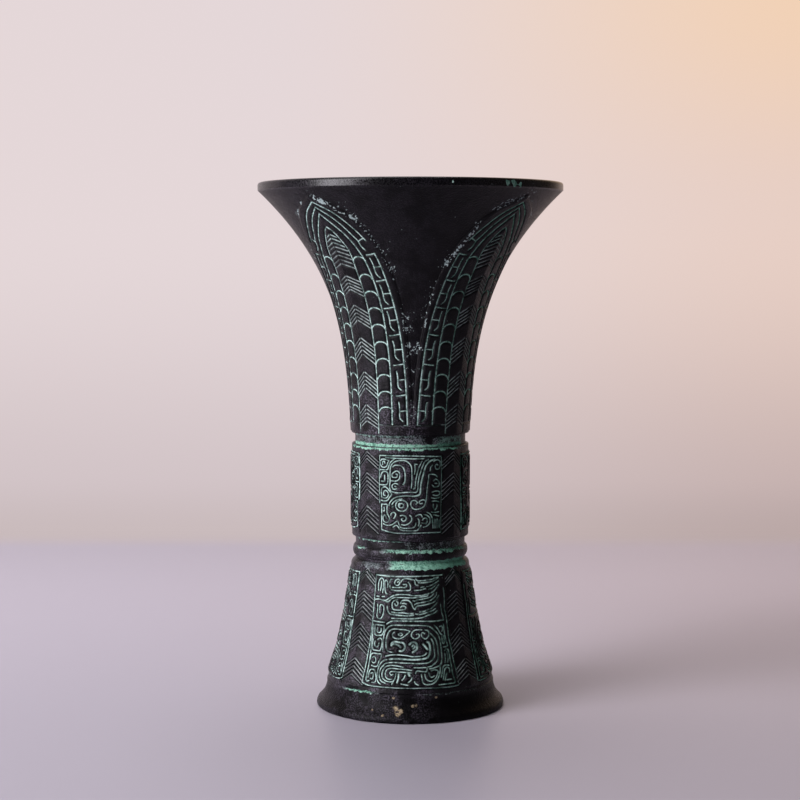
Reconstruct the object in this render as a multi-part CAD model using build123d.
from build123d import *
import math
import os

# Bronze gu: a slender wine vessel with a trumpet mouth and a splayed foot, cast in sections that
# are soldered together at two recessed collars. Frame: +Z up the vessel's axis, origin at the
# centre of the foot's rim on the table, front panel facing -Y. Millimetres and degrees.

# ---- Heights of the castings, from the table up ----
FOOT_HEIGHT = 57.4
LOWER_COLLAR_HEIGHT = 8.6
MIDDLE_HEIGHT = 35.4
UPPER_COLLAR_HEIGHT = 4.2
NECK_HEIGHT = 94.9

# ---- Mouth and neck ----
MOUTH_RADIUS = 58.1
NECK_BASE_RADIUS = 22.5
LIP_BAND_HEIGHT = 3.3
LIP_OVERHANG = 0.35
LIP_THICKNESS = 2.2
LIP_BEVEL = 1.0
NECK_BASE_ANGLE = 2.7
NECK_RIM_ANGLE = 46.2
NECK_BASE_REACH = 0.337
NECK_RIM_REACH = 0.487

# ---- Middle section, its collars and the bead ----
MIDDLE_RADIUS = 22.4
UPPER_COLLAR_RADIUS = 21.2
LOWER_COLLAR_RADIUS = 21.0
BEAD_RADIUS = 22.1
BEAD_HEIGHT = 4.2
BEAD_RISE = 0.9

# ---- Foot ----
FOOT_RADIUS = 36.2
FOOT_RIM_HEIGHT = 2.4
FOOT_RIM_DRAFT = 0.4
FOOT_RING_HEIGHT = 10.3
FOOT_RING_RADIUS = 32.2
FOOT_LEDGE = 0.4
FOOT_TOP_RADIUS = 22.75
FOOT_SHOULDER_HEIGHT = 2.8
FOOT_SHOULDER_WIDTH = 1.9
FOOT_SHOULDER_BULGE = 0.7
FOOT_BASE_ANGLE = 6.3
FOOT_TOP_ANGLE = 7.1
FOOT_BASE_REACH = 0.19
FOOT_TOP_REACH = 0.846
FOOT_RIM_WALL = 3.0
FOOT_INSIDE_ANGLE = 22
FOOT_INSIDE_REACH = 0.4

# ---- Cup bore, sockets and the cup's floor ----
BORE_RADIUS = 19.7
SOLDER_GAP = 0.1
SOCKET_DEPTH = 6.0
SPIGOT_WALL = 2.0
FLOOR_RISE = 2.6
FLOOR_THICKNESS = 2.0

# ---- Relief: raised leaves, panels and ridges ----
PANEL_COUNT = 4
RELIEF = 0.45
SEAT_DEPTH = 0.3
REGISTER_GAP = 0.6
RIDGE_HALF_WIDTH = 5.2
RIDGE_RISE = 0.8
LEAF_TWIST = 2.0
LEAF_BASE_MARGIN = 4.0
LEAF_TIP_MARGIN = 6.5
LEAF_BASE_HALF_WIDTH = 15.9
LEAF_BELLY_HALF_WIDTH = 17.6
LEAF_BELLY_AT = 0.71
LEAF_ARCH_HALF_WIDTH = 24.3
LEAF_ARCH_DROP = 3.8
SPINE_TAPER_AT = 0.65
SPINE_TIP_AT = 0.87
SPINE_TIP_HALF_WIDTH = 0.8
SPINE_TIP_RISE = 0.1
MIDDLE_PANEL_HALF_WIDTH = 11.5
MIDDLE_PANEL_MARGIN = 3.4
RIDGE_END_MARGIN = 0.6
FOOT_PANEL_TOP_HALF_WIDTH = 12.2
FOOT_PANEL_BASE_HALF_WIDTH = 17.9
FOOT_PANEL_BASE_MARGIN = 2.4
FOOT_PANEL_TOP_MARGIN = 1.2
FOOT_REGISTER_AT = 0.575

# ---- How many short cones stand for each curve of a turned profile ----
NECK_STEPS = 7
NECK_INSIDE_STEPS = 4
FOOT_STEPS = 3
FOOT_INSIDE_STEPS = 2
COVE_STEPS = 2
SHOULDER_STEPS = 2
BEAD_STEPS = 3

# ---- Levels and radii worked out from the sizes above ----
MIDDLE_BASE = FOOT_HEIGHT + LOWER_COLLAR_HEIGHT
MIDDLE_TOP = MIDDLE_BASE + MIDDLE_HEIGHT
NECK_BASE = MIDDLE_TOP + UPPER_COLLAR_HEIGHT
MOUTH_TOP = NECK_BASE + NECK_HEIGHT
FLOOR_LEVEL = FOOT_HEIGHT + FLOOR_RISE
SPIGOT_RADIUS = BORE_RADIUS - SOLDER_GAP
LEAF_BASE = NECK_BASE + LEAF_BASE_MARGIN
LEAF_LENGTH = NECK_HEIGHT - LEAF_BASE_MARGIN - LEAF_TIP_MARGIN
STATION_STEP = 360 / PANEL_COUNT
REACH = 2 * MOUTH_RADIUS


# ---- Profiles, in (radius, height) ----
def flared(low, high, low_angle, high_angle, low_reach, high_reach):
    """Curve from low to high that leans out from the vertical by the two angles at its ends."""
    rise = high[1] - low[1]
    low_lean = Vector(math.sin(math.radians(low_angle)), math.cos(math.radians(low_angle)))
    high_lean = Vector(math.sin(math.radians(high_angle)), math.cos(math.radians(high_angle)))
    low_handle = Vector(*low) + low_lean * (low_reach * rise)
    high_handle = Vector(*high) - high_lean * (high_reach * rise)
    return Bezier(low, low_handle, high_handle, high)


def steps_of(curve, count):
    """Points along a curve, whose chords turn into short cones."""
    return [tuple(curve @ (step / count))[:2] for step in range(count + 1)]


def neck_wall(offset=0.0):
    low = (NECK_BASE_RADIUS + offset, NECK_BASE)
    high = (MOUTH_RADIUS - LIP_OVERHANG + offset, MOUTH_TOP - LIP_BAND_HEIGHT)
    curve = flared(low, high, NECK_BASE_ANGLE, NECK_RIM_ANGLE, NECK_BASE_REACH, NECK_RIM_REACH)
    return steps_of(curve, NECK_STEPS)


def middle_wall(offset=0.0):
    return [(MIDDLE_RADIUS + offset, MIDDLE_BASE), (MIDDLE_RADIUS + offset, MIDDLE_TOP)]


def foot_wall(offset=0.0):
    low = (FOOT_RING_RADIUS - FOOT_LEDGE + offset, FOOT_RING_HEIGHT)
    high = (FOOT_TOP_RADIUS + offset, FOOT_HEIGHT - FOOT_SHOULDER_HEIGHT)
    curve = flared(low, high, -FOOT_BASE_ANGLE, -FOOT_TOP_ANGLE, FOOT_BASE_REACH, FOOT_TOP_REACH)
    return steps_of(curve, FOOT_STEPS)


def radius_at(wall, height):
    """Radius of a wall profile at a height."""
    for (low_radius, low), (high_radius, high) in zip(wall, wall[1:]):
        if height <= high:
            break
    return low_radius + (high_radius - low_radius) * (height - low) / (high - low)


# ---- Solids shared by the castings ----
def turned(points):
    """Solid of revolution of a closed outline."""
    return revolve(Plane.XZ * make_face(Polyline(*points, close=True)), Axis.Z)


def skin(wall, inner, outer):
    """Turned skin between two offsets from a wall."""
    return turned(wall(inner) + wall(outer)[::-1])


def behind(outline, wall, inner, outer):
    """The skin of a wall that lies behind an outline drawn on the front of the vessel."""
    return extrude(Plane.XZ * outline, REACH) & skin(wall, inner, outer)


def around(shape, turn):
    """Copies of a front shape, one for each panel, the first turned from the front."""
    return [Rot(0, 0, turn + station * STATION_STEP) * shape for station in range(PANEL_COUNT)]


def roof_ridge(wall, stations):
    """Roof-shaped ridge up the front; stations are (height, half width, rise of the crest)."""
    sections = []
    for height, half_width, rise in stations:
        face = radius_at(wall, height)
        edge = math.sqrt(face ** 2 - half_width ** 2)
        root = edge - SEAT_DEPTH
        outline = Polyline(
            (-half_width, -root), (-half_width, -edge), (0, -face - rise),
            (half_width, -edge), (half_width, -root), close=True)
        sections.append(Pos(0, 0, height) * make_face(outline))
    return loft(sections, ruled=True)


# ---- Neck: trumpet casting with four raised leaves ----
def leaf_outline():
    """Pointed leaf, widest below the arch of its tip."""
    tip = LEAF_BASE + LEAF_LENGTH
    right = [
        (LEAF_BASE_HALF_WIDTH, LEAF_BASE),
        (LEAF_BELLY_HALF_WIDTH, LEAF_BASE + LEAF_BELLY_AT * LEAF_LENGTH),
        (LEAF_ARCH_HALF_WIDTH, tip - LEAF_ARCH_DROP),
        (0, tip),
    ]
    left = [(-x, z) for x, z in reversed(right)]
    return make_face(Bezier(*right) + Bezier(*left) + Line(left[-1], right[0]))


def leaf():
    """Raised leaf with a roof-shaped spine that dies out near the tip."""
    blade = behind(leaf_outline(), neck_wall, -SEAT_DEPTH, RELIEF)
    spine = [
        (LEAF_BASE, RIDGE_HALF_WIDTH, RIDGE_RISE),
        (LEAF_BASE + SPINE_TAPER_AT / 2 * LEAF_LENGTH, RIDGE_HALF_WIDTH, RIDGE_RISE),
        (LEAF_BASE + SPINE_TAPER_AT * LEAF_LENGTH, RIDGE_HALF_WIDTH, RIDGE_RISE),
        (LEAF_BASE + SPINE_TIP_AT * LEAF_LENGTH, SPINE_TIP_HALF_WIDTH, SPINE_TIP_RISE),
    ]
    return blade + roof_ridge(neck_wall(RELIEF), spine)


def neck():
    lip_low = MOUTH_TOP - LIP_BAND_HEIGHT + LIP_OVERHANG
    inside_top = (MOUTH_RADIUS - LIP_THICKNESS, MOUTH_TOP - LIP_BEVEL)
    inside_low = (BORE_RADIUS, NECK_BASE + SOCKET_DEPTH)
    inside = flared(inside_low, inside_top, NECK_BASE_ANGLE, NECK_RIM_ANGLE,
                    NECK_BASE_REACH, NECK_RIM_REACH)
    lip = [
        (MOUTH_RADIUS, lip_low),
        (MOUTH_RADIUS, MOUTH_TOP - LIP_BEVEL),
        (MOUTH_RADIUS - LIP_THICKNESS / 2, MOUTH_TOP),
    ]
    socket = [
        (UPPER_COLLAR_RADIUS + SOLDER_GAP, NECK_BASE + SOCKET_DEPTH),
        (UPPER_COLLAR_RADIUS + SOLDER_GAP, NECK_BASE),
    ]
    body = turned(neck_wall() + lip + steps_of(inside, NECK_INSIDE_STEPS)[::-1] + socket)
    for blade in around(leaf(), STATION_STEP / 2 + LEAF_TWIST):
        body += blade
    return body


# ---- Collars, bead and floor ----
def upper_coupling():
    """Sleeve in the sockets of the neck and the middle; its bare band is the upper collar."""
    low = MIDDLE_TOP - SOCKET_DEPTH
    high = NECK_BASE + SOCKET_DEPTH
    return turned([
        (BORE_RADIUS, low), (UPPER_COLLAR_RADIUS, low),
        (UPPER_COLLAR_RADIUS, high), (BORE_RADIUS, high),
    ])


def lower_coupling():
    """Sleeve that stands on the foot with a spigot inside it and a ledge for the floor."""
    low = FOOT_HEIGHT - SOCKET_DEPTH
    high = MIDDLE_BASE + SOCKET_DEPTH
    ledge_radius = SPIGOT_RADIUS - SPIGOT_WALL
    return turned([
        (ledge_radius, low), (SPIGOT_RADIUS, low),
        (SPIGOT_RADIUS, FOOT_HEIGHT), (LOWER_COLLAR_RADIUS, FOOT_HEIGHT),
        (LOWER_COLLAR_RADIUS, high), (BORE_RADIUS, high),
        (BORE_RADIUS, FLOOR_LEVEL), (ledge_radius, FLOOR_LEVEL),
    ])


def bead_ring():
    """Half-round ring round the lower collar, a little above the foot."""
    inner = LOWER_COLLAR_RADIUS + SOLDER_GAP
    low = FOOT_HEIGHT + BEAD_RISE
    high = low + BEAD_HEIGHT
    crown = ThreePointArc((inner, low), (BEAD_RADIUS, (low + high) / 2), (inner, high))
    return turned(steps_of(crown, BEAD_STEPS))


def floor_plate():
    """Disc on the lower coupling's ledge: it closes the cup above the hollow foot."""
    disc = Cylinder(BORE_RADIUS - SOLDER_GAP, FLOOR_THICKNESS)
    return Pos(0, 0, FLOOR_LEVEL + FLOOR_THICKNESS / 2) * disc


# ---- Middle section: straight casting with four raised panels and four ridges ----
def panel_outline(base_half, top_half, low, high):
    return make_face(Polyline(
        (-base_half, low), (base_half, low), (top_half, high), (-top_half, high), close=True))


def middle_section():
    upper_socket = UPPER_COLLAR_RADIUS + SOLDER_GAP
    lower_socket = LOWER_COLLAR_RADIUS + SOLDER_GAP
    body = turned(middle_wall() + [
        (upper_socket, MIDDLE_TOP), (upper_socket, MIDDLE_TOP - SOCKET_DEPTH),
        (BORE_RADIUS, MIDDLE_TOP - SOCKET_DEPTH), (BORE_RADIUS, MIDDLE_BASE + SOCKET_DEPTH),
        (lower_socket, MIDDLE_BASE + SOCKET_DEPTH), (lower_socket, MIDDLE_BASE),
    ])
    outline = panel_outline(MIDDLE_PANEL_HALF_WIDTH, MIDDLE_PANEL_HALF_WIDTH,
                            MIDDLE_BASE + MIDDLE_PANEL_MARGIN, MIDDLE_TOP - MIDDLE_PANEL_MARGIN)
    ridge = roof_ridge(middle_wall(), [
        (MIDDLE_BASE + RIDGE_END_MARGIN, RIDGE_HALF_WIDTH, RIDGE_RISE),
        (MIDDLE_TOP - RIDGE_END_MARGIN, RIDGE_HALF_WIDTH, RIDGE_RISE),
    ])
    for panel in around(behind(outline, middle_wall, -SEAT_DEPTH, RELIEF), 0):
        body += panel
    for crest in around(ridge, STATION_STEP / 2):
        body += crest
    return body


# ---- Foot: hollow splayed casting, open below, with two registers of panels ----
def foot():
    wall = foot_wall()
    rim_top = (FOOT_RADIUS - FOOT_RIM_DRAFT, FOOT_RIM_HEIGHT)
    cove = Spline(rim_top, (FOOT_RING_RADIUS, FOOT_RING_HEIGHT), tangents=((-1, 1), (0, 1)))
    shoulder_top = (FOOT_TOP_RADIUS - FOOT_SHOULDER_WIDTH, FOOT_HEIGHT)
    shoulder = SagittaArc(wall[-1], shoulder_top, FOOT_SHOULDER_BULGE)
    rim_inside = (FOOT_RADIUS - FOOT_RIM_WALL, 0)
    socket_low = (BORE_RADIUS, FOOT_HEIGHT - SOCKET_DEPTH)
    inside = flared(rim_inside, socket_low, -FOOT_INSIDE_ANGLE, -FOOT_TOP_ANGLE,
                    FOOT_INSIDE_REACH, FOOT_INSIDE_REACH)
    body = turned(
        [(FOOT_RADIUS, 0)] + steps_of(cove, COVE_STEPS) + wall
        + steps_of(shoulder, SHOULDER_STEPS)[1:] + [(BORE_RADIUS, FOOT_HEIGHT)]
        + steps_of(inside, FOOT_INSIDE_STEPS)[::-1])
    low = FOOT_RING_HEIGHT + FOOT_PANEL_BASE_MARGIN
    high = FOOT_HEIGHT - FOOT_SHOULDER_HEIGHT - FOOT_PANEL_TOP_MARGIN
    split = low + FOOT_REGISTER_AT * (high - low)
    taper = FOOT_PANEL_BASE_HALF_WIDTH - FOOT_PANEL_TOP_HALF_WIDTH
    split_half = FOOT_PANEL_BASE_HALF_WIDTH - FOOT_REGISTER_AT * taper
    lower = panel_outline(FOOT_PANEL_BASE_HALF_WIDTH, split_half, low, split - REGISTER_GAP / 2)
    upper = panel_outline(split_half, FOOT_PANEL_TOP_HALF_WIDTH, split + REGISTER_GAP / 2, high)
    for outline in (lower, upper):
        for panel in around(behind(outline, foot_wall, -SEAT_DEPTH, RELIEF), 0):
            body += panel
    levels = [low] + [level for _, level in wall[1:-1]] + [high]
    ridge = roof_ridge(wall, [(level, RIDGE_HALF_WIDTH, RIDGE_RISE) for level in levels])
    for crest in around(ridge, STATION_STEP / 2):
        body += crest
    return body


# ---- One file for each piece ----
pieces = {
    "foot": foot,
    "lower_coupling": lower_coupling,
    "bead_ring": bead_ring,
    "floor_plate": floor_plate,
    "middle_section": middle_section,
    "upper_coupling": upper_coupling,
    "neck": neck,
}
os.makedirs("parts", exist_ok=True)
for name, make in pieces.items():
    export_step(make(), f"parts/{name}.step")
